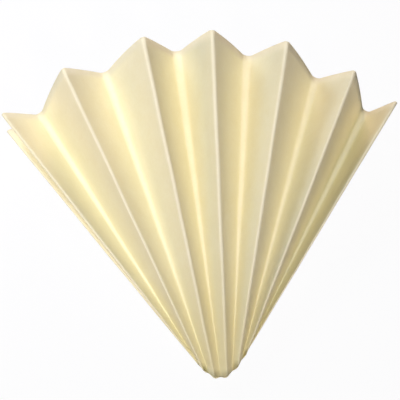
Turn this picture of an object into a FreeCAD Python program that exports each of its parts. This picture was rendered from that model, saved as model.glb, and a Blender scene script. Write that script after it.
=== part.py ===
# Pleated paper filter: one round sheet, folded in half, pleated into a fan and laid down.
# Frame: millimetres, Z up, floor at Z = 0, tip towards -Y, open mouth towards +Y, box centred.
import math
import os
import FreeCAD, Part

# ---------------------------------------------------------------- sheet
disc_radius = 120.0          # flat round sheet, before folding
paper_thickness = 0.4
# ---------------------------------------------------------------- fan, front layer
pleat_openings = [27.0, 29.9, 22.1, 25.5, 27.2, 19.8]  # ridge to ridge at the mouth
panel_bow = 5                # degrees each panel turns through between its two folds
arch_rise = 21.2             # how far the middle of the fan stands above its sides
valley_lean = 0.33           # 0 hangs a valley straight down, 1 square to its two ridges
floor_clearance = 0.05       # paper face above the floor
# ---------------------------------------------------------------- back layer and side tucks
layer_gap_left = 7.5         # back layer below the front layer, at the mouth
layer_gap_right = 5.0
edge_split_left = 15.4       # back edge below the front edge, at the mouth
edge_split_right = 5.0
edge_inset_left = 1.4        # back edge inside the front edge, at the mouth
tuck_stop = 2.2              # tucked fold stops this short of the valley
# ---------------------------------------------------------------- folds at the mouth
ridge_radius = 0.45          # centre of the paper
valley_radius = 2.2          # valleys are only half creased, so they stay round
tuck_radius = 0.4
# ---------------------------------------------------------------- blunt tip
tip_half_width = 9.2
tip_peak = -1.6              # foremost point of the tip, left of the middle
tip_bulge = 7.5              # middle of the tip stands this far in front of its ends
tip_round = 1.0              # 0 makes the tip's plan a sharp V, large values a parabola
tip_half_height = 2.6
tip_recess = 3.4             # underside of the tip stands this far behind its top
tip_turn = 4                 # degrees by which the front layer's folds are turned to the right
tip_right = 0.8              # tip's shift to the right of the fan's own middle
tip_front = 3.2              # and towards the front
tip_flute = 0.85             # folds stand in and out by this at the tip
tip_scallop = 0.6            # ridges stand forward by this share of the flute
tip_slack = 1.35             # paper length over straight length across the crumpled tip
tip_fold_radius = 0.35       # centre of the paper
# ---------------------------------------------------------------- smoothness
panel_steps = 4              # strips across a panel
fold_steps = 2               # strips round each half of a fold

# ---------------------------------------------------------------- derived
ridges = len(pleat_openings) + 1
panels = 4 * ridges
front_last = 2 * ridges - 2
panel_width = 2 * math.pi * disc_radius / panels
half = paper_thickness / 2
tip_y = tip_bulge + 1.0
mouth_width = sum(pleat_openings)
corner_step = 2 * math.pi / panels
tip_start = -corner_step * (ridges - 1)
ridge_x = [sum(pleat_openings[:k]) for k in range(ridges)]


def vec(x, y, z):
    return FreeCAD.Vector(x, y, z)


def unit(p, q):
    d = math.hypot(q[0] - p[0], q[1] - p[1])
    return ((q[0] - p[0]) / d, (q[1] - p[1]) / d)


def turned(d, angle):
    c = math.cos(angle)
    s = math.sin(angle)
    return (d[0] * c - d[1] * s, d[0] * s + d[1] * c)


def path_length(pts):
    return sum(math.hypot(q[0] - p[0], q[1] - p[1]) for p, q in zip(pts, pts[1:]))


def arch(x):
    u = 2 * x / mouth_width - 1
    return arch_rise * (1 - u * u)


def gap(x):
    return layer_gap_left + (layer_gap_right - layer_gap_left) * x / mouth_width


# ---------------------------------------------------------------- section at the mouth
# Corners are (across, up): across runs along the mouth, up is height.
# Each has its fold radius and whether it stands out (1) or in (-1) at the tip.
def section_corners(chord):
    """Ridges follow the arch; each valley hangs below the line between its two ridges."""
    back_ridge = [(x, arch(x)) for x in ridge_x]
    back_valley = []
    for a, b in zip(back_ridge, back_ridge[1:]):
        depth = math.sqrt(chord ** 2 - (math.hypot(b[0] - a[0], b[1] - a[1]) / 2) ** 2)
        hang = turned((0, -depth), valley_lean * math.atan2(b[1] - a[1], b[0] - a[0]))
        back_valley.append(((a[0] + b[0]) / 2 + hang[0], (a[1] + b[1]) / 2 + hang[1]))
    front_ridge = [(x, z + gap(x)) for x, z in back_ridge]
    front_valley = [(x, z + gap(x)) for x, z in back_valley]
    left_edge = (ridge_x[0] + edge_inset_left, front_ridge[0][1] - edge_split_left)
    right_edge = (ridge_x[-1], front_ridge[-1][1] - edge_split_right)
    tuck_left = tuck_end(front_valley[0], back_valley[0], front_ridge[0], left_edge)
    tuck_right = tuck_end(front_valley[-1], back_valley[-1], front_ridge[-1], right_edge)
    found = []
    for k in range(ridges):
        fold = tuck_radius if k in (0, ridges - 1) else ridge_radius
        found.append((front_ridge[k], fold, 0.3 if k in (0, ridges - 1) else 1))
        if k < ridges - 1:
            found.append((front_valley[k], valley_radius, -0.5 if k in (0, ridges - 2) else -1))
    found.append((tuck_right, tuck_radius, -0.2))
    found.append((right_edge, tuck_radius, 0.3))
    for k in reversed(range(ridges - 1)):
        found.append((back_valley[k], valley_radius, 0.7 if k in (0, ridges - 2) else 1))
        if k > 0:
            found.append((back_ridge[k], ridge_radius, -1))
    found.append((left_edge, tuck_radius, 0.3))
    found.append((tuck_left, tuck_radius, -0.2))
    return found


def tuck_end(valley1, valley2, edge1, edge2):
    """Fold of the side tuck: midway between the two layers, just short of their valleys."""
    low = ((valley1[0] + valley2[0]) / 2, (valley1[1] + valley2[1]) / 2)
    high = ((edge1[0] + edge2[0]) / 2, (edge1[1] + edge2[1]) / 2)
    d = unit(low, high)
    return (low[0] + d[0] * tuck_stop, low[1] + d[1] * tuck_stop)


def bow_side(k):
    """Every panel is steepest at its ridge, so it bows one way going right, the other going left."""
    if k < front_last or k == front_last + 1 or k == panels - 2:
        return 1
    return -1


def rounded(places, radii, bow_degrees):
    """One list of points per panel, each from the middle of one fold to the middle of the next."""
    bow = math.radians(bow_degrees) / 2
    starts = []
    ends = []
    for k in range(panels):
        d = unit(places[k], places[(k + 1) % panels])
        starts.append(turned(d, -bow_side(k) * bow))
        ends.append(turned(d, bow_side(k) * bow))
    arcs = []
    for k in range(panels):
        px, pz = places[k]
        radius = radii[k]
        d1 = ends[k - 1]
        d2 = starts[k]
        turn = math.atan2(d1[0] * d2[1] - d1[1] * d2[0], d1[0] * d2[0] + d1[1] * d2[1])
        way = 1 if turn > 0 else -1
        mid = unit((0, 0), (d1[0] - d2[0], d1[1] - d2[1]))
        if abs(turn) > math.radians(150):
            back = radius
        else:
            back = radius / math.cos(turn / 2)
        cx = px - mid[0] * back
        cz = pz - mid[1] * back
        first = (d1[1] * radius * way, -d1[0] * radius * way)
        pts = []
        for j in range(2 * fold_steps + 1):
            rx, rz = turned(first, turn * j / (2 * fold_steps))
            pts.append((cx + rx, cz + rz))
        arcs.append(pts)
    runs = []
    for k in range(panels):
        a = arcs[k][-1]
        b = arcs[(k + 1) % panels][0]
        pull = math.hypot(b[0] - a[0], b[1] - a[1]) / 3
        a2 = (a[0] + starts[k][0] * pull, a[1] + starts[k][1] * pull)
        b2 = (b[0] - ends[k][0] * pull, b[1] - ends[k][1] * pull)
        pts = arcs[k][fold_steps:]
        for j in range(1, panel_steps):
            t = j / panel_steps
            w = ((1 - t) ** 3, 3 * t * (1 - t) ** 2, 3 * t * t * (1 - t), t ** 3)
            x = w[0] * a[0] + w[1] * a2[0] + w[2] * b2[0] + w[3] * b[0]
            z = w[0] * a[1] + w[1] * a2[1] + w[2] * b2[1] + w[3] * b[1]
            pts.append((x, z))
        pts = pts + arcs[(k + 1) % panels][:fold_steps + 1]
        runs.append(pts)
    return runs


def section(chord):
    """The mouth's panels for a given straight width of a panel."""
    corners = section_corners(chord)
    return rounded([c[0] for c in corners], [c[1] for c in corners], panel_bow)


# straight width of a panel at which the front panels use as much paper as the flat sheet has there
low = 0.7 * panel_width
high = 1.3 * panel_width
for _ in range(40):
    chord = (low + high) / 2
    runs = section(chord)
    if sum(path_length(runs[k]) for k in range(front_last)) < panel_width * front_last:
        low = chord
    else:
        high = chord
corners = section_corners(chord)
lift = half + floor_clearance - min(p[1] for run in runs for p in run)
runs = [[(x, z + lift) for x, z in run] for run in runs]
print("straight panel %.2f, panel width %.2f" % (chord, panel_width))
print("panel widths", [round(path_length(run), 1) for run in runs])

# ---------------------------------------------------------------- blunt tip
tip_z = half + floor_clearance + tip_half_height + tip_flute


def nose(x):
    """Plan of the tip: 1 at its foremost point, 0 a half width to each side; and its slope."""
    u = (x - tip_peak) / tip_half_width
    far = math.hypot(1, tip_round)
    height = (far - math.hypot(u, tip_round)) / (far - tip_round)
    slope = -u / math.hypot(u, tip_round) / (far - tip_round) / tip_half_width
    return height, slope


def tip_angle(k, turn):
    """Angle round the tip, 0 at its top; the front layer's folds are turned by the given degrees."""
    angle = tip_start + corner_step * k
    return angle + math.radians(turn) * (1 + math.cos(angle)) / 2


def tip_corner(k, turn):
    """Fold k on a flat oval seen from the end; the folds stand in and out square to it."""
    s = math.sin(tip_angle(k, turn))
    c = math.cos(tip_angle(k, turn))
    nx, nz = unit((0, 0), (s / tip_half_width, c / tip_half_height))
    flute = tip_flute * corners[k][2]
    return (tip_half_width * s + flute * nx, tip_z + tip_half_height * c + flute * nz)


def tip_runs(turn, recess, scallop, right, front):
    """Points round the tip that go with the points round the mouth, one list per panel."""
    places = [tip_corner(k, turn) for k in range(panels)]
    found = []
    for k, run in enumerate(rounded(places, [tip_fold_radius] * panels, 0)):
        flute1 = tip_flute * corners[k][2]
        flute2 = tip_flute * corners[(k + 1) % panels][2]
        pts = []
        for j, (x, z) in enumerate(run):
            t = path_length(run[:j + 1]) / path_length(run)
            under = (1 - math.cos(tip_angle(k + t, turn))) / 2
            y = tip_y - tip_bulge * nose(x)[0] + recess * under
            y = y - scallop * (flute1 + (flute2 - flute1) * t)
            pts.append(vec(x + right, y - front, z))
        found.append(pts)
    return found


# the mouth is laid out from an even tip, which is then crumpled
tips = tip_runs(0, 0, 0, 0, 0)
crumpled = tip_runs(tip_turn, tip_recess, tip_scallop, tip_right, tip_front)
# the middle of the sheet is the foremost point of the tip: every line starts that far out
end_middle = vec(tip_peak, tip_y - tip_bulge, tip_z)


def crease_run(tip):
    return disc_radius - (tip - end_middle).Length * tip_slack


longest_run = max(crease_run(p) for run in tips for p in run)
shortest_run = min(crease_run(p) for run in tips for p in run)
print("straight lines %.1f to %.1f" % (shortest_run, longest_run))

# ---------------------------------------------------------------- straight lines from tip to mouth
# The fan angle opens the tip's width to the mouth's width.
fan_angle = (mouth_width - 2 * tip_half_width) / (shortest_run + longest_run) * 2 / 0.97


def heading(x):
    return fan_angle * (x / mouth_width - 0.5)


def mouth_point(tip, x, z):
    run = crease_run(tip)
    rise = math.asin((z - tip.z) / run)
    a = heading(x)
    flat = run * math.cos(rise)
    return vec(tip.x + flat * math.sin(a), tip.y + flat * math.cos(a), z)


mouths = [[mouth_point(t, x, z) for t, (x, z) in zip(tips[k], runs[k])] for k in range(panels)]


# whole closed loops without the shared end points
tip_loop = [p for run in crumpled for p in run[:-1]]
mouth_loop = [p for run in mouths for p in run[:-1]]
loop_count = len(tip_loop)


# where the panels' slopes near the tip are read: far enough back to be those of the pleats
near_loop = [m * 0.15 + t * 0.85 for m, t in zip(mouth_loop, tip_loop)]


def outward(loop, j):
    along = loop[(j + 1) % loop_count] - loop[j - 1]
    n = along.cross(mouth_loop[j] - tip_loop[j])
    n.normalize()
    return n


def wall_out(x):
    """Outward direction of the end wall at x."""
    n = vec(-tip_bulge * nose(x - tip_right)[1], -1, 0)
    n.normalize()
    return n


def skin(side):
    """Face of the paper: side 1 outside, -1 inside. The tip's corner is mitred."""
    mouth = []
    tip = []
    for j in range(loop_count):
        mouth.append(mouth_loop[j] + outward(mouth_loop, j) * (side * half))
        n = outward(near_loop, j)
        wall = wall_out(tip_loop[j].x)
        tip.append(tip_loop[j] + (n + wall) * (side * half / max(0.4, 1 + n.dot(wall))))
    return mouth, tip


def strip(a, b, c, d):
    """Face between the straight edges a-b and c-d. At the side folds it closes to a triangle."""
    if (a - c).Length < 1e-6:
        return Part.Face(Part.makePolygon([a, b, d, a]))
    if (b - d).Length < 1e-6:
        return Part.Face(Part.makePolygon([a, b, c, a]))
    return Part.makeRuledSurface(Part.makeLine(a, b), Part.makeLine(c, d), 1)


faces = []
outer_mouth, outer_tip = skin(1)
inner_mouth, inner_tip = skin(-1)
for j in range(loop_count):
    i = j - 1
    faces.append(strip(outer_mouth[i], outer_mouth[j], outer_tip[i], outer_tip[j]))
    faces.append(strip(inner_mouth[i], inner_mouth[j], inner_tip[i], inner_tip[j]))
    faces.append(strip(outer_mouth[i], outer_mouth[j], inner_mouth[i], inner_mouth[j]))
# end wall of the tip, from each strip of the front layer to the one below it
steps = loop_count // panels
for j in range(-steps, -steps + loop_count // 2):
    below = (panels - 2) * steps - j
    for tip in (outer_tip, inner_tip):
        faces.append(strip(tip[j], tip[j + 1], tip[below % loop_count], tip[(below - 1) % loop_count]))

shell = Part.makeShell(faces)
shell.sewShape()
print("shell", shell.ShapeType, "closed", shell.isClosed(), "valid", shell.isValid())
filter_solid = Part.makeSolid(shell)
if filter_solid.Volume < 0:
    filter_solid.reverse()
middle = filter_solid.BoundBox.Center
filter_solid.translate(vec(-middle.x, -middle.y, 0))
print("volume %.0f of %.0f" % (filter_solid.Volume, math.pi * disc_radius ** 2 * paper_thickness))
print("box", filter_solid.BoundBox, "valid", filter_solid.isValid())

os.makedirs("parts", exist_ok=True)
filter_solid.exportStep("parts/pleated_filter.step")
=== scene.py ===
# %% [markdown]
# # A pleated paper filter
# A round sheet of filter paper is folded in half, pleated into a narrow fan and let go, so that it
# springs partly open. It lies on a table with its blunt tip towards us. This lesson builds it in
# Blender as one thin sheet: first the lines that the folds follow, then the paper ruled between
# them by Geometry Nodes, then its fibres, the light and the camera. All sizes are in metres.
#
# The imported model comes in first. It is the frame that everything is measured from, so the box it
# fills is noted before anything is added.

# %% Load the frame
import math
import bpy
from mathutils import Matrix, Vector


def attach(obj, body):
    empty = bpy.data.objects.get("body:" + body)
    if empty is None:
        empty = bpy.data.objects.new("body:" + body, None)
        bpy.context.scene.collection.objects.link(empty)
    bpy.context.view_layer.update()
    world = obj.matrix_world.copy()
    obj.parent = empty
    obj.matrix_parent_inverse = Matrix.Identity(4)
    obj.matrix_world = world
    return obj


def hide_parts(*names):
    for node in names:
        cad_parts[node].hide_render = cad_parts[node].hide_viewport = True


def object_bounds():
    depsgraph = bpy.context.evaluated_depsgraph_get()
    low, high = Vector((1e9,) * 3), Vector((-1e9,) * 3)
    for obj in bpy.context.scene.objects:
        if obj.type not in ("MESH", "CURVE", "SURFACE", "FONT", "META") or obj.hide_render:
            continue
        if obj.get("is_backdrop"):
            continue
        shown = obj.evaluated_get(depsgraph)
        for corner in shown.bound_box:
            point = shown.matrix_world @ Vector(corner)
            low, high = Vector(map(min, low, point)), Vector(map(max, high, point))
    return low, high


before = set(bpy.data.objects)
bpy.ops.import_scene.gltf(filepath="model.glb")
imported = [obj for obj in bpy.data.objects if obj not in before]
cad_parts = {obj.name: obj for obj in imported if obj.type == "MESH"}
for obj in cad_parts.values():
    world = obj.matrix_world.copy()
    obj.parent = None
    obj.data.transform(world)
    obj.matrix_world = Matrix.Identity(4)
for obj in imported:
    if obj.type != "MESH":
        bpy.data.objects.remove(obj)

cad_low, cad_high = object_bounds()
print("frame box", [round(v, 4) for v in cad_low], [round(v, 4) for v in cad_high])

# %% [markdown]
# ## Sums on sockets
# Node trees do arithmetic with Math nodes, which is slow to read and to write. A small class that
# wraps one socket lets Python's own signs add those nodes: `1 - mask` makes a Subtract node. If
# either side is a vector it makes a Vector Math node instead, because a plain Math node would
# flatten a direction or a colour to one number. The same class serves geometry and shaders.


# %% A socket that does sums
class Wire:
    """One output socket in a node tree."""

    def __init__(self, tree, socket):
        self.tree = tree
        self.socket = socket

    def sum(self, operation, first, second):
        kind, values = "ShaderNodeVectorMath", {0: first, 1: second}
        if not (is_vector(first) or is_vector(second)):
            kind = "ShaderNodeMath"
        elif operation == "MULTIPLY" and not is_vector(second):
            operation, values = "SCALE", {0: first, "Scale": second}
        return add(self.tree, kind, {"operation": operation}, values)(0)

    def __add__(self, other):
        return self.sum("ADD", self, other)

    def __radd__(self, other):
        return self.sum("ADD", other, self)

    def __sub__(self, other):
        return self.sum("SUBTRACT", self, other)

    def __rsub__(self, other):
        return self.sum("SUBTRACT", other, self)

    def __mul__(self, other):
        return self.sum("MULTIPLY", self, other)

    def __rmul__(self, other):
        return self.sum("MULTIPLY", self, other)

    def __truediv__(self, other):
        return self.sum("DIVIDE", self, other)

    def __rtruediv__(self, other):
        return self.sum("DIVIDE", other, self)

    def floor(self):
        return self.sum("FLOOR", self, 0.0)

    def wrap(self, other):
        return self.sum("FLOORED_MODULO", self, other)

    def at_most(self, other):
        return self.sum("MINIMUM", self, other)

    def at_least(self, other):
        return self.sum("MAXIMUM", self, other)


def is_vector(value):
    if isinstance(value, Wire):
        return value.socket.type in ("VECTOR", "RGBA")
    return isinstance(value, tuple)


def add(tree, kind, settings=None, sockets=None):
    """Adds a node: its settings first, then its sockets' values or links. Returns its outputs."""
    node = tree.nodes.new(kind)
    for name, value in (settings or {}).items():
        setattr(node, name, value)
    for name, value in (sockets or {}).items():
        if isinstance(value, Wire):
            tree.links.new(value.socket, node.inputs[name])
        else:
            node.inputs[name].default_value = value
    return lambda name: Wire(tree, node.outputs[name])


def blend(tree, factor, first, second, kind="VECTOR"):
    """Mix node for vectors (VECTOR), colours (RGBA) or numbers (FLOAT)."""
    slot1, slot2, result = {"FLOAT": (2, 3, 0), "VECTOR": (4, 5, 1), "RGBA": (6, 7, 2)}[kind]
    values = {0: factor, slot1: first, slot2: second}
    return add(tree, "ShaderNodeMix", {"data_type": kind}, values)(result)


print("socket sums ready")

# %% [markdown]
# ## The sheet and its folds
# The real filter starts as a flat disc. Every fold line runs from the middle of the disc to its
# rim, so all of them are equally long, and every panel between two folds is equally wide at the
# rim. Those two facts shape the fan: a pleat that is spread wide has a shallow valley, and one
# that is squeezed has a deep one. So the openings of the pleats are the sizes to choose, and the
# depths follow from the paper.

# %% Sizes of the sheet and of the pleats
disc_radius = 0.120
paper_thickness = 0.0004
pleat_openings = [0.0270, 0.0299, 0.0221, 0.0255, 0.0272, 0.0198]
arch_rise = 0.0212
valley_lean = 0.33
ridge_count = len(pleat_openings) + 1
panel_count = 4 * ridge_count
mouth_width = sum(pleat_openings)
ridge_x = [sum(pleat_openings[:k]) for k in range(ridge_count)]
panel_width = 2 * math.pi * disc_radius / panel_count
print("panels", panel_count, "each", round(panel_width, 4), "wide at the rim")

# %% [markdown]
# One half of the folded disc is the front layer, on top. The other half is the back layer, which
# hangs a little below it, closer on the right than on the left. The back layer's two side edges drop
# further, by the splits, and lie inside the front edges, by the insets. Between the layers the paper
# is tucked in at each side, and the tuck stops just short of the valleys.

# %% Sizes of the gap between the layers
layer_gap_left, layer_gap_right = 0.0075, 0.0050
edge_split_left, edge_split_right = 0.0154, 0.0050
edge_inset_left, edge_inset_right = 0.0014, 0.0016
tuck_stop = 0.0022
print("gap between the layers", layer_gap_left, "to", layer_gap_right)

# %% [markdown]
# ## Sums on points
# The section across the folds is drawn with pairs of numbers, (across, up). Four small functions do
# what it needs: the direction from one point to another, a direction turned by an angle, a point
# part of the way between two others, and the length of a line of points.


# %% Points and directions
def direction(p, q):
    length = math.hypot(q[0] - p[0], q[1] - p[1])
    return ((q[0] - p[0]) / length, (q[1] - p[1]) / length)


def turned(d, angle):
    c, s = math.cos(angle), math.sin(angle)
    return (d[0] * c - d[1] * s, d[0] * s + d[1] * c)


def between(p, q, t=0.5):
    return (p[0] + (q[0] - p[0]) * t, p[1] + (q[1] - p[1]) * t)


def length_of(points):
    return sum(math.dist(p, q) for p, q in zip(points, points[1:]))


print("a right angle's two sides are", length_of([(0, 0), (1, 0), (1, 1)]), "long")

# %% [markdown]
# ## The zigzag at the mouth
# Seen from the open end, the front layer is a zigzag of seven ridges on a low arch. The back layer
# nests just below it, and at each side a pair of panels is tucked in between the two. The zigzag is
# one closed line of corners, walked from the left ridge over the front to the right, and home under
# the back. Each corner is (across, up) with its fold radius and its flute, which says how far it
# stands out of the nose: 1 is a full ridge and -1 a full valley. The folds near the two sides are
# pinched together at the tip, so they stand out or in less.

# %% Radii and flutes of the folds
ridge_radius, valley_radius, tuck_radius = 0.00045, 0.0022, 0.0004
full_ridge, side_ridge, edge_ridge = 1, 0.7, 0.3
full_valley, side_valley, tuck_valley = -1, -0.5, -0.2
print("fold radii", ridge_radius, valley_radius, tuck_radius)

# %% [markdown]
# The back layer's ridges lie on the arch. A valley hangs between two of them, at the depth that the
# width of a panel leaves, and leans with the arch by a third of its slope. The front layer is the
# same, raised by the gap.


# %% The two layers
def back_layer(chord):
    """Ridges and valleys of the back layer, for panels that are chord wide."""
    ridges = [(x, arch_rise * (1 - (2 * x / mouth_width - 1) ** 2)) for x in ridge_x]
    valleys = []
    for a, b in zip(ridges, ridges[1:]):
        depth = math.sqrt(chord ** 2 - (math.dist(a, b) / 2) ** 2)
        hang = turned((0, -depth), valley_lean * math.atan2(b[1] - a[1], b[0] - a[0]))
        valleys.append(((a[0] + b[0]) / 2 + hang[0], (a[1] + b[1]) / 2 + hang[1]))
    return ridges, valleys


def raised(p):
    """The point of the front layer above a point of the back layer."""
    gap = layer_gap_left + (layer_gap_right - layer_gap_left) * p[0] / mouth_width
    return (p[0], p[1] + gap)


print("deepest valley", round(min(p[1] for p in back_layer(panel_width)[1]), 4))

# %% [markdown]
# With the side tucks and the two lower edges the corners are complete, and the walk round them is
# the same whatever the width of a panel.


# %% Corners of the zigzag
def tuck_fold(valley1, valley2, edge1, edge2):
    """A side tuck ends midway between the layers, just short of their valleys."""
    low, high = between(valley1, valley2), between(edge1, edge2)
    d = direction(low, high)
    return (low[0] + d[0] * tuck_stop, low[1] + d[1] * tuck_stop)


def zigzag(chord):
    back_ridge, back_valley = back_layer(chord)
    front_ridge = [raised(p) for p in back_ridge]
    front_valley = [raised(p) for p in back_valley]
    left_edge = (ridge_x[0] + edge_inset_left, front_ridge[0][1] - edge_split_left)
    right_edge = (ridge_x[-1] - edge_inset_right, front_ridge[-1][1] - edge_split_right)
    left_tuck = tuck_fold(front_valley[0], back_valley[0], front_ridge[0], left_edge)
    right_tuck = tuck_fold(front_valley[-1], back_valley[-1], front_ridge[-1], right_edge)
    last = ridge_count - 1
    corners = [(front_ridge[0], tuck_radius, edge_ridge)]
    for k in range(last):
        at_side = k in (0, last - 1)
        corners.append((front_valley[k], valley_radius, side_valley if at_side else full_valley))
        if k + 1 < last:
            corners.append((front_ridge[k + 1], ridge_radius, full_ridge))
    corners.append((front_ridge[last], tuck_radius, edge_ridge))
    corners.append((right_tuck, tuck_radius, tuck_valley))
    corners.append((right_edge, tuck_radius, edge_ridge))
    for k in reversed(range(last)):
        at_side = k in (0, last - 1)
        corners.append((back_valley[k], valley_radius, side_ridge if at_side else full_ridge))
        if k > 0:
            corners.append((back_ridge[k], ridge_radius, full_valley))
    corners.append((left_edge, tuck_radius, edge_ridge))
    corners.append((left_tuck, tuck_radius, tuck_valley))
    return corners


print("corners", len(zigzag(panel_width)))

# %% [markdown]
# ## Rounding the folds
# Paper never folds to a perfect corner, and a panel between two folds is never quite flat: it is
# stiff at the fold and bows a little. Each corner becomes an arc and each panel a very shallow
# curve. The ridges are creased sharply, but the valleys are not, and their wide arcs give the soft
# glow of light along them. Steps are packed closely round a fold and loosely along a panel.

# %% Rounded section
fold_steps = 5
panel_steps = 10
panel_bow = math.radians(5)
doubled_back = math.radians(150)
front_panels = 2 * ridge_count - 2


def bows_left(k):
    """1 where panel k bows to the left of the way that the zigzag is walked, else -1."""
    return 1 if k < front_panels or k in (front_panels + 1, panel_count - 2) else -1


def rounded(places, radii, bow):
    """Points for each panel, from the middle of one fold to the middle of the next."""
    starts, ends, arcs, runs = [], [], [], []
    for k in range(panel_count):
        d = direction(places[k], places[(k + 1) % panel_count])
        starts.append(turned(d, -bows_left(k) * bow / 2))
        ends.append(turned(d, bows_left(k) * bow / 2))
    for k, (corner, radius) in enumerate(zip(places, radii)):
        d1, d2 = ends[k - 1], starts[k]
        turn = math.atan2(d1[0] * d2[1] - d1[1] * d2[0], d1[0] * d2[0] + d1[1] * d2[1])
        mid = direction((0, 0), (d1[0] - d2[0], d1[1] - d2[1]))
        back = radius if abs(turn) > doubled_back else radius / math.cos(turn / 2)
        centre = (corner[0] - mid[0] * back, corner[1] - mid[1] * back)
        way = math.copysign(radius, turn)
        first = (d1[1] * way, -d1[0] * way)
        spokes = [turned(first, turn * j / (2 * fold_steps)) for j in range(2 * fold_steps + 1)]
        arcs.append([(centre[0] + s[0], centre[1] + s[1]) for s in spokes])
    for k in range(panel_count):
        a, b = arcs[k][-1], arcs[(k + 1) % panel_count][0]
        pull = math.dist(a, b) / 3
        a2 = (a[0] + starts[k][0] * pull, a[1] + starts[k][1] * pull)
        b2 = (b[0] - ends[k][0] * pull, b[1] - ends[k][1] * pull)
        points = arcs[k][fold_steps:]
        for j in range(1, panel_steps):
            t = j / panel_steps
            w = ((1 - t) ** 3, 3 * t * (1 - t) ** 2, 3 * t * t * (1 - t), t ** 3)
            points.append(tuple(sum(wi * p[i] for wi, p in zip(w, (a, a2, b2, b))) for i in (0, 1)))
        runs.append(points + arcs[(k + 1) % panel_count][:fold_steps + 1])
    return runs


print("steps round a fold", 2 * fold_steps, "and along a panel", panel_steps)

# %% [markdown]
# Arcs cut corners and bows are detours, so a panel's straight width is not quite the width of its
# paper. Halving an interval finds the straight width at which the front layer takes up its share of
# the disc's rim. The section is then set down so that the lowest paper just clears the table.

# %% Fit the section to the paper
halvings = 40
floor_clearance = 0.00005
low, high = 0.7 * panel_width, 1.3 * panel_width
for _ in range(halvings):
    chord = (low + high) / 2
    corners = zigzag(chord)
    runs = rounded([c[0] for c in corners], [c[1] for c in corners], panel_bow)
    if sum(length_of(run) for run in runs[:front_panels]) < panel_width * front_panels:
        low = chord
    else:
        high = chord
set_down = paper_thickness / 2 + floor_clearance - min(p[1] for run in runs for p in run)
runs = [[(x, z + set_down) for x, z in run] for run in runs]
print("straight panel", round(chord, 5), "points round the mouth", sum(len(r) - 1 for r in runs))

# %% [markdown]
# ## The blunt tip
# All the folds would meet in one point, but paper is too thick for that. The middle of the disc is
# crumpled into a blunt nose about two centimetres wide. Here the nose is a flat oval, fluted by the
# folds, whose plan is a rounded V with its peak a little left of the middle. The bulge is how far
# the V stands forward, and round is how blunt it is. The paper is crumpled up in there, so the way
# from the disc's middle to the nose uses more of it than its straight length, by the slack.

# %% Sizes of the nose
tip_half_width, tip_half_height = 0.0092, 0.0026
tip_peak, tip_bulge, tip_round = -0.0016, 0.0075, 1.0
tip_flute, tip_fold_radius, tip_slack = 0.00085, 0.00035, 1.35
tip_peak_y = 0.001
tip_y = tip_bulge + tip_peak_y
tip_z = paper_thickness / 2 + floor_clearance + tip_half_height + tip_flute
corner_step = 2 * math.pi / panel_count


def nose(x):
    """The rounded V: 1 at the peak and 0 half a nose's width away."""
    far = math.hypot(1, tip_round)
    return (far - math.hypot((x - tip_peak) / tip_half_width, tip_round)) / (far - tip_round)


def tip_angle(k, turn):
    """Angle of fold k round the nose, 0 at its top; only the front layer's folds are turned."""
    angle = corner_step * (k + 1 - ridge_count)
    return angle + turn * (1 + math.cos(angle)) / 2


def tip_corner(k, turn):
    s, c = math.sin(tip_angle(k, turn)), math.cos(tip_angle(k, turn))
    n = direction((0, 0), (s / tip_half_width, c / tip_half_height))
    flute = tip_flute * corners[k][2]
    return (tip_half_width * s + flute * n[0], tip_z + tip_half_height * c + flute * n[1])


print("nose", 2 * tip_half_width, "wide and", 2 * tip_half_height, "high")

# %% [markdown]
# The nose is laid out twice. The even one gives each line its direction and its length. The
# crumpled one, as fingers leave it, then moves only the tip ends of the lines: the front layer's
# folds are turned a few degrees, the underside is set back, ridges run on further than valleys, and
# the whole nose sits a little to the right and to the front.

# %% Even nose and crumpled nose
tip_turn, tip_recess, tip_scallop = math.radians(4), 0.0034, 0.6
tip_right, tip_front = 0.0008, 0.0032


def nose_loop(turn, recess, scallop, right, front):
    """One point on the nose for each point of the mouth."""
    points = []
    places = [tip_corner(k, turn) for k in range(panel_count)]
    for k, run in enumerate(rounded(places, [tip_fold_radius] * panel_count, 0)):
        flute1, flute2 = corners[k][2], corners[(k + 1) % panel_count][2]
        for j, (x, z) in enumerate(run[:-1]):
            t = length_of(run[:j + 1]) / length_of(run)
            under = (1 - math.cos(tip_angle(k + t, turn))) / 2
            run_on = scallop * tip_flute * (flute1 + (flute2 - flute1) * t)
            y = tip_y - tip_bulge * nose(x) + recess * under - run_on
            points.append(Vector((x + right, y - front, z)))
    return points


even_tips = nose_loop(0, 0, 0, 0, 0)
crumpled_tips = nose_loop(tip_turn, tip_recess, tip_scallop, tip_right, tip_front)
print("points round the nose", len(even_tips))

# %% [markdown]
# Along each panel of the mouth, a point's share of the way gives its angle on the flat disc, and
# its distance from the nearer fold is kept with a sign, minus for a valley.

# %% Places on the mouth
least_distance = 0.00001
mouths, angles, from_fold, flutes = [], [], [], []
for k, run in enumerate(runs):
    total = length_of(run)
    flute1, flute2 = corners[k][2], corners[(k + 1) % panel_count][2]
    for j in range(len(run) - 1):
        done = length_of(run[:j + 1])
        mouths.append(run[j])
        angles.append(corner_step * (k + done / total))
        flutes.append(flute1 + (flute2 - flute1) * (1 - math.cos(math.pi * done / total)) / 2)
        nearer, sign = min((done, flute1), (total - done, flute2))
        from_fold.append(math.copysign(nearer + least_distance, sign))
print("points round the mouth", len(mouths))

# %% [markdown]
# Each line keeps the length that the disc leaves it. It rises to the height of its mouth point, and
# what is left of it in plan, about 0.97 of its length, is laid along its heading in the fan. The
# whole fan is then centred on the frame, with its furthest ridge at the frame's back.

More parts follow.
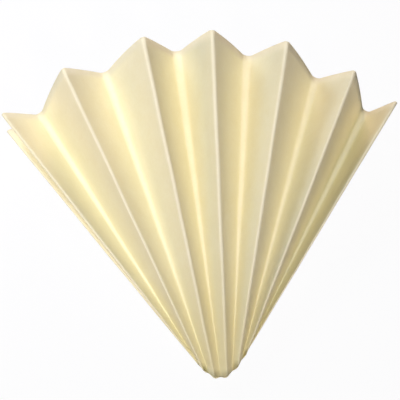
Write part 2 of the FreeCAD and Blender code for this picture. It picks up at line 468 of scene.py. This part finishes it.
# %% Lines from the tip to the mouth
share_in_plan = 0.97
sheet_middle = Vector((tip_peak, tip_y - tip_bulge, tip_z))
line_starts = [(tip - sheet_middle).length * tip_slack for tip in even_tips]
lines = [disc_radius - start for start in line_starts]
fan_angle = (mouth_width - 2 * tip_half_width) / (min(lines) + max(lines)) * 2 / share_in_plan
for i, (x, z) in enumerate(mouths):
    tip = even_tips[i]
    in_plan = lines[i] * math.cos(math.asin((z - tip.z) / lines[i]))
    heading = fan_angle * (x / mouth_width - 0.5)
    mouths[i] = Vector((tip.x + in_plan * math.sin(heading), tip.y + in_plan * math.cos(heading), z))
middle_x = (min(p.x for p in mouths) + max(p.x for p in mouths)) / 2
furthest_y = max(p.y for p in mouths)
shift = Vector(((cad_low.x + cad_high.x) / 2 - middle_x, cad_high.y - furthest_y, 0))
tips = [p + shift for p in crumpled_tips]
mouths = [p + shift for p in mouths]
print("lines", round(min(lines), 4), "to", round(max(lines), 4))
print("fan angle", round(math.degrees(fan_angle), 1))

# %% [markdown]
# ## A loop of points that carries the lines
# Geometry Nodes needs something to read, so the mouth becomes a closed loop of points. Each point
# also carries, as named attributes, where its line starts on the nose, how far that is from the
# middle of the sheet, its angle on the flat disc, how far it is from the nearest fold, and whether
# it stands out as a ridge or in as a valley.

# %% Loop with attributes
loop_mesh = bpy.data.meshes.new("mouth_loop")
count = len(mouths)
loop_mesh.from_pydata(mouths, [(i, (i + 1) % count) for i in range(count)], [])
for name, values in (
    ("line_start", line_starts),
    ("sheet_angle", angles),
    ("from_fold", from_fold),
    ("flute", flutes),
):
    loop_mesh.attributes.new(name, "FLOAT", "POINT").data.foreach_set("value", values)
tip_points = loop_mesh.attributes.new("tip_point", "FLOAT_VECTOR", "POINT")
tip_points.data.foreach_set("vector", [v for p in tips for v in p])
filter_paper = bpy.data.objects.new("filter_paper", loop_mesh)
bpy.context.scene.collection.objects.link(filter_paper)
print("loop points", count)

# %% [markdown]
# ## Ruling the paper with Geometry Nodes
# The filter's shape follows one rule: every point of the mouth joins its own point of the tip by a
# straight line. That suits Geometry Nodes. A grid supplies the points, one column for each point
# of the loop and one row for each step along a line, and Sample Index looks up where a column
# starts and ends. A second, smaller grid closes the nose. Modelling this by hand would mean moving
# hundreds of edges, and a loft could not keep the lines straight. The tree's inputs hold the sizes,
# so that another paper needs no new nodes.

# %% The tree and its inputs
tree = bpy.data.node_groups.new("ruled_paper", "GeometryNodeTree")
sockets = {}
for name, kind, value in (
    ("Geometry", "NodeSocketGeometry", None),
    ("Rows", "NodeSocketInt", 36),
    ("Nose Rows", "NodeSocketInt", 15),
    ("Disc Radius", "NodeSocketFloat", disc_radius),
    ("Paper Thickness", "NodeSocketFloat", paper_thickness),
    ("Press", "NodeSocketFloat", 0.8),
    ("Nose Bulge", "NodeSocketFloat", 0.0007),
    ("Wave Height", "NodeSocketFloat", 0.0004),
    ("Wave Size", "NodeSocketFloat", 0.022),
    ("Seed", "NodeSocketInt", 4),
    ("Material", "NodeSocketMaterial", None),
):
    sockets[name] = tree.interface.new_socket(name=name, in_out="INPUT", socket_type=kind)
    if value is not None:
        sockets[name].default_value = value
tree.interface.new_socket(name="Geometry", in_out="OUTPUT", socket_type="NodeSocketGeometry")
given = add(tree, "NodeGroupInput")
loop = given("Geometry")
loop_size = add(tree, "GeometryNodeAttributeDomainSize", {"component": "MESH"}, {"Geometry": loop})
around = loop_size("Point Count")
index = add(tree, "GeometryNodeInputIndex")("Index")
position = add(tree, "GeometryNodeInputPosition")("Position")
print("tree inputs", list(sockets))

# %% [markdown]
# Each lookup reads one named attribute of the loop at the wanted place along it. The flat place of
# a point on the disc comes from its angle and its distance from the middle. It is kept as the UV
# map, so that the paper's fibres lie on the sheet as they did before it was folded.


# %% Lookups
def stored(name, kind="FLOAT"):
    settings = {"data_type": kind}
    return add(tree, "GeometryNodeInputNamedAttribute", settings, {"Name": name})("Attribute")


def looked_up(geometry, value, place, kind):
    return add(tree, "GeometryNodeSampleIndex", {"data_type": kind, "domain": "POINT"},
               {"Geometry": geometry, "Value": value, "Index": place})("Value")


def from_loop(name, place, kind="FLOAT"):
    return looked_up(loop, stored(name, kind), place, kind)


def tip_at(place):
    return from_loop("tip_point", place, "FLOAT_VECTOR")


def mouth_at(place):
    return looked_up(loop, position, place, "FLOAT_VECTOR")


def trig(operation, angle):
    return add(tree, "ShaderNodeMath", {"operation": operation}, {0: angle})(0)


def flat_place(place, along):
    """Where a point of the folded sheet lies on the flat disc, from -1 to 1."""
    start = from_loop("line_start", place)
    reach = (start + (given("Disc Radius") - start) * along) / given("Disc Radius")
    angle = from_loop("sheet_angle", place)
    across, up = trig("COSINE", angle) * reach, trig("SINE", angle) * reach
    return add(tree, "ShaderNodeCombineXYZ", None, {0: across, 1: up})(0)


def keep(geometry, name, value, kind="FLOAT", domain="POINT"):
    return add(tree, "GeometryNodeStoreNamedAttribute", {"data_type": kind, "domain": domain},
               {"Geometry": geometry, "Name": name, "Value": value})("Geometry")


def moved(geometry, how):
    return add(tree, "GeometryNodeSetPosition", None, {"Geometry": geometry, **how})("Geometry")


print("nodes so far", len(tree.nodes))

# %% [markdown]
# The first grid is the pleated tube. Its last column repeats the first, and the two are merged
# afterwards. The distance from the nearest fold shrinks towards the tip as the panels get narrower,
# so it is multiplied by how far along the line a point is, and at the nose by the small share of
# its width that a panel has left there.

# %% Pleated tube
nose_share = 0.08
rows = given("Rows")
grid = add(tree, "GeometryNodeMeshGrid", None, {"Vertices X": around + 1, "Vertices Y": rows})("Mesh")
column = (index / rows).floor()
along = index.wrap(rows) / (rows - 1)
place = column.wrap(around)
tube = moved(grid, {"Position": blend(tree, along, tip_at(place), mouth_at(place))})
tube = keep(tube, "flat_place", flat_place(place, along), "FLOAT_VECTOR")
tube = keep(tube, "from_fold", from_loop("from_fold", place) * along.at_least(nose_share))
print("nodes so far", len(tree.nodes))

# %% [markdown]
# Folded paper is pressed thin where it bends most sharply, and without that the two faces of the
# sheet would pass through each other inside a fold. The bend is measured from the neighbours on
# both sides: how far apart they are, over how much the direction turns from one to the next, is the
# radius. Half the thickness takes no more of it than the Press input says, and stays below a limit
# that falls towards the nose, where the folds crowd together. It is then blurred so that the change
# is gradual.

# %% Pressed folds
straightest_turn = 0.001
nose_half, nose_growth, thinnest_half = 0.15, 4, 0.08


def beside(columns):
    """The point of the same row, that many columns further on."""
    neighbour = (column + columns).wrap(around) * rows + index.wrap(rows)
    return looked_up(tube, position, neighbour, "FLOAT_VECTOR")


def distance(a, b):
    return add(tree, "ShaderNodeVectorMath", {"operation": "DISTANCE"}, {0: a, 1: b})("Value")


def unit(vector):
    return add(tree, "ShaderNodeVectorMath", {"operation": "NORMALIZE"}, {0: vector})("Vector")


bend = distance(unit(position - beside(-1)), unit(beside(1) - position))
bend_radius = distance(beside(1), beside(-1)) * 0.5 / bend.at_least(straightest_turn)
half = (bend_radius * given("Press")).at_most(given("Paper Thickness") * 0.5)
half = half.at_most(given("Paper Thickness") * (nose_half + along * nose_growth))
half = half.at_least(given("Paper Thickness") * thinnest_half)
blurred = add(tree, "GeometryNodeBlurAttribute", {"data_type": "FLOAT"},
              {"Value": half, "Iterations": 2})("Value")
tube = keep(tube, "half", blurred)
print("nodes so far", len(tree.nodes))

# %% [markdown]
# The second grid closes the nose. Column by column it joins a point of the front layer to the point
# below it in the back layer. Both rows of points start at the tuck on the left, one walks over the
# front and the other under the back. Each column runs on a little in the direction of its own line
# and turns under in half an ellipse, so that the pleats roll over the end of the nose. Ridges run on
# further than valleys, which scallops the outline. The paper is as thin here as at the nose's folds.

# %% End of the nose
ridge_swell = 0.6
nose_rows = given("Nose Rows")
end_grid = add(tree, "GeometryNodeMeshGrid", None,
               {"Vertices X": around / 2 + 1, "Vertices Y": nose_rows})("Mesh")
step = (index / nose_rows).floor()
down = index.wrap(nose_rows) / (nose_rows - 1)
first_tuck = around - around / panel_count
over = (first_tuck + step).wrap(around)
under = (first_tuck - step).wrap(around)


def line_direction(place):
    return unit(tip_at(place) - mouth_at(place))


over_tip, under_tip = tip_at(over), tip_at(under)
bulge = given("Nose Bulge").at_most(distance(over_tip, under_tip) * 0.5)
swell = trig("SINE", down * math.pi) * bulge * (from_loop("flute", over) * ridge_swell + 1)
turn_under = (1 - trig("COSINE", down * math.pi)) * 0.5
onward = blend(tree, down, line_direction(over), line_direction(under)) * swell
end_wall = moved(end_grid, {"Position": blend(tree, turn_under, over_tip, under_tip), "Offset": onward})
flat_between = blend(tree, down, flat_place(over, 0.0), flat_place(under, 0.0))
end_wall = keep(end_wall, "flat_place", flat_between, "FLOAT_VECTOR")
end_wall = keep(end_wall, "from_fold", from_loop("from_fold", over) * nose_share)
end_wall = keep(end_wall, "half", given("Paper Thickness") * nose_half)
print("nodes so far", len(tree.nodes))

# %% [markdown]
# The two are joined and their shared points merged. A smooth noise then pushes every point a little,
# as damp and handling leave paper. It goes by the point's place in space, so that layers which lie
# close together are moved alike.

# %% Merge and wave
same_place = 0.0000001
seed_stride = 1.7


def joined(*parts):
    together = add(tree, "GeometryNodeJoinGeometry")("Geometry")
    for part in reversed(parts):
        tree.links.new(part.socket, together.socket.node.inputs[0])
    return add(tree, "GeometryNodeMergeByDistance", None,
               {"Geometry": together, "Distance": same_place})("Geometry")


sheet = joined(tube, end_wall)
waves = add(tree, "ShaderNodeTexNoise", {"noise_dimensions": "4D"},
            {"Vector": position, "W": given("Seed") * seed_stride,
             "Scale": 1 / given("Wave Size"), "Detail": 1.0})("Color")
sheet = moved(sheet, {"Offset": (waves - (0.5, 0.5, 0.5)) * given("Wave Height")})
print("nodes so far", len(tree.nodes))

# %% [markdown]
# So far the sheet is the middle of the paper. Each point stores its lift, which is its own normal
# times half the thickness. The inner face is the sheet moved down by the lift, and the outer face is
# that one extruded by nothing and moved up by the lift twice. An extrude that takes its direction
# from the inner face goes astray in sharp folds, which is why the lift is stored first. The walls of
# the extrude are the cut rim, shaded flat so that the paper's edge stays crisp.

# %% Thicken
normal = add(tree, "GeometryNodeInputNormal")("Normal")
sheet = keep(sheet, "lift", normal * stored("half"), "FLOAT_VECTOR")
lift = stored("lift", "FLOAT_VECTOR")
inner = moved(sheet, {"Offset": lift * -1})
inner = add(tree, "GeometryNodeSetShadeSmooth", None,
            {"Geometry": inner, "Shade Smooth": True})("Geometry")
thick = add(tree, "GeometryNodeExtrudeMesh", {"mode": "FACES"},
            {"Mesh": inner, "Offset Scale": 0.0, "Individual": False})
outer = moved(thick("Mesh"), {"Selection": thick("Top"), "Offset": lift * 2})
outer = add(tree, "GeometryNodeSetShadeSmooth", None,
            {"Geometry": outer, "Selection": thick("Side"), "Shade Smooth": False})("Geometry")
flipped = add(tree, "GeometryNodeFlipFaces", None, {"Mesh": inner})("Mesh")
paper = joined(outer, flipped)
sheet_uv = stored("flat_place", "FLOAT_VECTOR") * 0.5 + (0.5, 0.5, 0.0)
paper = keep(paper, "UVMap", sheet_uv, "FLOAT2", "CORNER")
paper = add(tree, "GeometryNodeRealizeInstances", None, {"Geometry": paper})("Geometry")
paper = add(tree, "GeometryNodeSetMaterial", None,
            {"Geometry": paper, "Material": given("Material")})("Geometry")
add(tree, "NodeGroupOutput", None, {"Geometry": paper})
print("nodes in the tree", len(tree.nodes))

# %% [markdown]
# ## Filter paper
# The paper is thin, soft and unbleached: warm cream, with long pale fibres and faint clouds where
# the pulp settled unevenly. Noise on the flat place of each point gives both, so they follow the
# sheet through its folds, and unlike a picture of paper it never repeats.

# %% Paper noise
paler = (0.88, 0.845, 0.56, 1.0)
deeper = (0.835, 0.78, 0.465, 1.0)
# The deepest colour is painted shade, used towards the tip.
painted_tip_shade_colour = (0.77, 0.70, 0.34, 1.0)
finish = bpy.data.materials.new("cream_filter_paper")
finish.use_nodes = True
shader_tree = finish.node_tree
principled = shader_tree.nodes["Principled BSDF"]
flat_uv = add(shader_tree, "ShaderNodeUVMap", {"uv_map": "UVMap"})("UV")


def cloud(size, detail, stretch=(1.0, 1.0, 1.0)):
    """Noise from 0 to 1 on the flat sheet, its clouds about size metres wide."""
    scaled = flat_uv * (2 * disc_radius) * stretch
    return add(shader_tree, "ShaderNodeTexNoise", {"noise_dimensions": "3D"},
               {"Vector": scaled, "Scale": 1 / size, "Detail": detail, "Roughness": 0.6})("Fac")


pulp = cloud(size=0.006, detail=3.0)
grain = cloud(size=0.0011, detail=3.0)
fibres = cloud(size=0.0005, detail=2.0, stretch=(1.0, 0.22, 1.0))
pulp_share, grain_share, fibre_share, contrast = 0.45, 0.35, 0.2, 2.2
settled = pulp * pulp_share + grain * grain_share + fibres * fibre_share
mottle = ((settled - 0.5) * contrast + 0.5).at_least(0.0).at_most(1.0)
print("paper nodes so far", len(shader_tree.nodes))

# %% [markdown]
# Along the ridges the colour is a touch paler: a painted highlight where the rounded crests catch the
# light. The stored distance from a fold is negative beside a valley, so a large negative factor puts
# the valleys out of reach. Towards the middle of the disc the colour is deeper: painted shade where
# the light falls off towards the tip. The surface is rough and barely shines, and its grain and
# fibres stand up very slightly.

# %% Paper material
# Width and strength of the painted highlight, a paler line along each ridge.
painted_highlight_width, painted_highlight_strength = 0.0009, 0.2
# Reach and strength of the painted shade, which deepens the colour towards the tip.
painted_shade_reach, painted_shade_strength = 0.045, 0.8
out_of_reach = -1000
least_rough, rough_range = 0.72, 0.2
fold = add(shader_tree, "ShaderNodeAttribute", {"attribute_name": "from_fold"})("Fac")
off_ridge = fold.at_least(fold * out_of_reach)
# Painted highlight: paler colour along the ridges, none beside the valleys.
painted_ridge_highlight = 1 - (off_ridge / painted_highlight_width).at_most(1.0)
from_middle = add(shader_tree, "ShaderNodeVectorMath", {"operation": "DISTANCE"},
                  {0: flat_uv, 1: (0.5, 0.5, 0.0)})("Value")
# Painted shade: strongest at the middle of the disc, gone beyond the reach.
painted_tip_shade = 1 - (from_middle * (2 * disc_radius) / painted_shade_reach).at_most(1.0)
colour = blend(shader_tree, mottle, deeper, paler, "RGBA")
colour = blend(shader_tree, painted_ridge_highlight * painted_highlight_strength, colour, paler, "RGBA")
colour = blend(shader_tree, painted_tip_shade * painted_shade_strength, colour, painted_tip_shade_colour, "RGBA")
relief = grain * 0.5 + fibres * 0.5
bump = add(shader_tree, "ShaderNodeBump", None,
           {"Height": relief, "Strength": 0.25, "Distance": 0.0002})("Normal")
rough = least_rough + grain * rough_range
shader_tree.links.new(colour.socket, principled.inputs["Base Color"])
shader_tree.links.new(rough.socket, principled.inputs["Roughness"])
shader_tree.links.new(bump.socket, principled.inputs["Normal"])
principled.inputs["Specular IOR Level"].default_value = 0.25
print("paper nodes", len(shader_tree.nodes))

# %% [markdown]
# ## From the loop to a plain mesh
# A modifier knows its inputs by their identifiers, so the material goes in by that. The evaluated
# result is then copied into a plain mesh, because the parts library stores meshes and not trees, and
# the modifier goes.

# %% Apply the tree
modifier = filter_paper.modifiers.new("ruled_paper", "NODES")
modifier.node_group = tree
modifier[sockets["Material"].identifier] = finish
bpy.context.view_layer.update()
evaluated = filter_paper.evaluated_get(bpy.context.evaluated_depsgraph_get())
sheet_mesh = bpy.data.meshes.new_from_object(evaluated)
filter_paper.modifiers.clear()
filter_paper.data = sheet_mesh
sheet_mesh.name = "filter_paper"
bpy.data.meshes.remove(loop_mesh)
print("faces", len(sheet_mesh.polygons), "points", len(sheet_mesh.vertices))

# %% [markdown]
# A closed sheet has no open edge, and its volume counted by its faces is positive only if they
# point outwards. Both are quick to test, and a test here saves a puzzled look at black patches later.

# %% Test the sheet
edge_uses = {}
volume = 0.0
for face in sheet_mesh.polygons:
    a, *rest = [sheet_mesh.vertices[i].co for i in face.vertices]
    volume += sum(a.dot(b.cross(c)) for b, c in zip(rest, rest[1:])) / 6
    for key in face.edge_keys:
        edge_uses[key] = edge_uses.get(key, 0) + 1
open_edges = sum(1 for uses in edge_uses.values() if uses != 2)
print("open edges", open_edges, "paper volume in mm3", round(volume * 1e9))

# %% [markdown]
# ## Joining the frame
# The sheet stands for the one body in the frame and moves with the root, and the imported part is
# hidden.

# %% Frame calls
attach(filter_paper, "root")
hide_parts("pleated_filter")

# %% [markdown]
# ## Floor and backdrop
# The floor is a plain pale plane. Seen directly it is nearly all white, and the small share that is
# not keeps a faint soft shadow. For the light that bounces off it, it is a plain pale surface, so
# that it does not brighten the paper.

# %% Floor
floor_reach = 3.0
white_share = 0.94
floor_pale, pure_white = (0.8, 0.8, 0.8, 1.0), (1.0, 1.0, 1.0, 1.0)


def seen_rays(tree):
    """1 for rays that show a surface to the eye, straight or in a reflection, else 0."""
    path = add(tree, "ShaderNodeLightPath")
    return path("Is Camera Ray").at_least(path("Is Glossy Ray")).at_least(path("Is Transmission Ray"))


floor_corners = [(x * floor_reach, y * floor_reach, 0) for x, y in ((-1, -1), (1, -1), (1, 1), (-1, 1))]
floor_mesh = bpy.data.meshes.new("floor")
floor_mesh.from_pydata(floor_corners, [], [(0, 1, 2, 3)])
floor = bpy.data.objects.new("floor", floor_mesh)
bpy.context.scene.collection.objects.link(floor)
pale = bpy.data.materials.new("pale_floor")
pale.use_nodes = True
floor_tree = pale.node_tree
floor_tree.nodes.clear()
surface = add(floor_tree, "ShaderNodeBsdfDiffuse", None, {"Color": floor_pale})("BSDF")
white = add(floor_tree, "ShaderNodeEmission", None, {"Color": pure_white, "Strength": 1.0})("Emission")
floor_mix = add(floor_tree, "ShaderNodeMixShader", None,
                {0: seen_rays(floor_tree) * white_share, 1: surface, 2: white})("Shader")
add(floor_tree, "ShaderNodeOutputMaterial", None, {"Surface": floor_mix})
floor_mesh.materials.append(pale)
floor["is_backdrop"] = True
print("floor", floor_reach * 2, "metres wide")

# %% [markdown]
# ## Soft light
# Two spots in front have soft-edged pools that are centred on the left shoulder of the fan, so the
# light falls off towards the right and towards the tip. Three disc lamps from the left and from
# behind, two of them close, light the left-facing sides of the pleats and come in under the rim.
# The high spot and the key lamp are cool and the other three warm, as daylight and lamplight are in
# one room, so each side of a pleat has its own shade of cream.

# %% Lamps
middle = (cad_low + cad_high) / 2
pool_middle = middle + Vector((-0.03, 0.03, 0))
spot_cone, spot_blend, spot_softness = math.radians(13), 1.0, 0.15


def sphere_direction(turn, height):
    """A unit vector at two angles in degrees: turn from +X round Z, and height above the floor."""
    turn, height = math.radians(turn), math.radians(height)
    level = math.cos(height)
    return Vector((math.cos(turn) * level, math.sin(turn) * level, math.sin(height)))


def placed(data, name, turn, height, away, target):
    """A lamp at that direction and distance from the middle of the filter, facing the target."""
    lamp = bpy.data.objects.new(name, data)
    lamp.location = middle + away * sphere_direction(turn, height)
    lamp.rotation_euler = (target - lamp.location).to_track_quat("-Z", "Y").to_euler()
    lamp.visible_camera = False
    bpy.context.scene.collection.objects.link(lamp)
    return lamp


def softbox(name, turn, height, away, size, energy, colour):
    data = bpy.data.lights.new(name, "AREA")
    data.shape, data.size, data.energy, data.color = "DISK", size, energy, colour
    return placed(data, name, turn, height, away, middle)


def soft_spot(name, turn, height, away, energy, colour):
    data = bpy.data.lights.new(name, "SPOT")
    data.spot_size, data.spot_blend, data.shadow_soft_size = spot_cone, spot_blend, spot_softness
    data.energy, data.color = energy, colour
    return placed(data, name, turn, height, away, pool_middle)


lamps = [
    soft_spot("high_spot", 255, 65, 1.3, 97.0, (0.81, 0.81, 1.0)),
    soft_spot("front_spot", 285, 40, 1.3, 41.0, (1.0, 0.80, 0.79)),
    softbox("key_softbox", 135, 40, 0.32, 0.12, 0.40, (0.65, 0.73, 1.0)),
    softbox("side_softbox", 180, 15, 0.32, 0.12, 0.15, (1.0, 0.77, 0.61)),
    softbox("back_softbox", 90, 15, 1.3, 0.5, 8.0, (1.0, 0.78, 0.77)),
]
print("lamps at", [[round(v, 2) for v in lamp.location] for lamp in lamps])

# %% [markdown]
# The world is white where it is seen. As light it only fills in the shadows, a little warm, as light
# is that has already bounced about between cream folds.

# %% World
fill_level, fill_tint = 0.07, (1.0, 0.87, 0.83, 1.0)
world = bpy.data.worlds.new("pale_room")
world.use_nodes = True
world_tree = world.node_tree
background = world_tree.nodes["Background"]
seen = seen_rays(world_tree)
level = blend(world_tree, seen, fill_level, 1.0, "FLOAT")
tint = blend(world_tree, seen, fill_tint, pure_white, "RGBA")
world_tree.links.new(level.socket, background.inputs["Strength"])
world_tree.links.new(tint.socket, background.inputs["Color"])
bpy.context.scene.world = world
print("fill level", fill_level)

# %% [markdown]
# ## Camera
# The camera looks steeply down on the filter from the side of its tip, a shade to the left, with a
# long lens so that the far rim is hardly smaller than the tip. Its three axes are worked out from
# its turn, height and roll, and they are the columns of its matrix.

# %% Camera
camera_turn, camera_height, camera_roll = -4.02, 62.39, math.radians(0.78)
camera_aim = Vector((-0.00216, -0.0002, 0.0200))
camera_away = 0.4794
backward = sphere_direction(camera_turn - 90, camera_height)
level_right = sphere_direction(camera_turn, 0)
level_up = backward.cross(level_right)
right = level_right * math.cos(camera_roll) + level_up * math.sin(camera_roll)
up = level_up * math.cos(camera_roll) - level_right * math.sin(camera_roll)
camera_data = bpy.data.cameras.new("camera")
camera_data.lens, camera_data.sensor_width = 126.0, 36.0
camera = bpy.data.objects.new("camera", camera_data)
camera.matrix_world = Matrix((right, up, backward)).transposed().to_4x4()
camera.location = camera_aim + backward * camera_away
bpy.context.scene.collection.objects.link(camera)
bpy.context.scene.camera = camera
print("camera at", [round(v, 3) for v in camera.location])

# %% Finish
bpy.context.scene.view_settings.view_transform = "Standard"
low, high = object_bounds()
print("visual box", [round(v, 4) for v in low], [round(v, 4) for v in high])
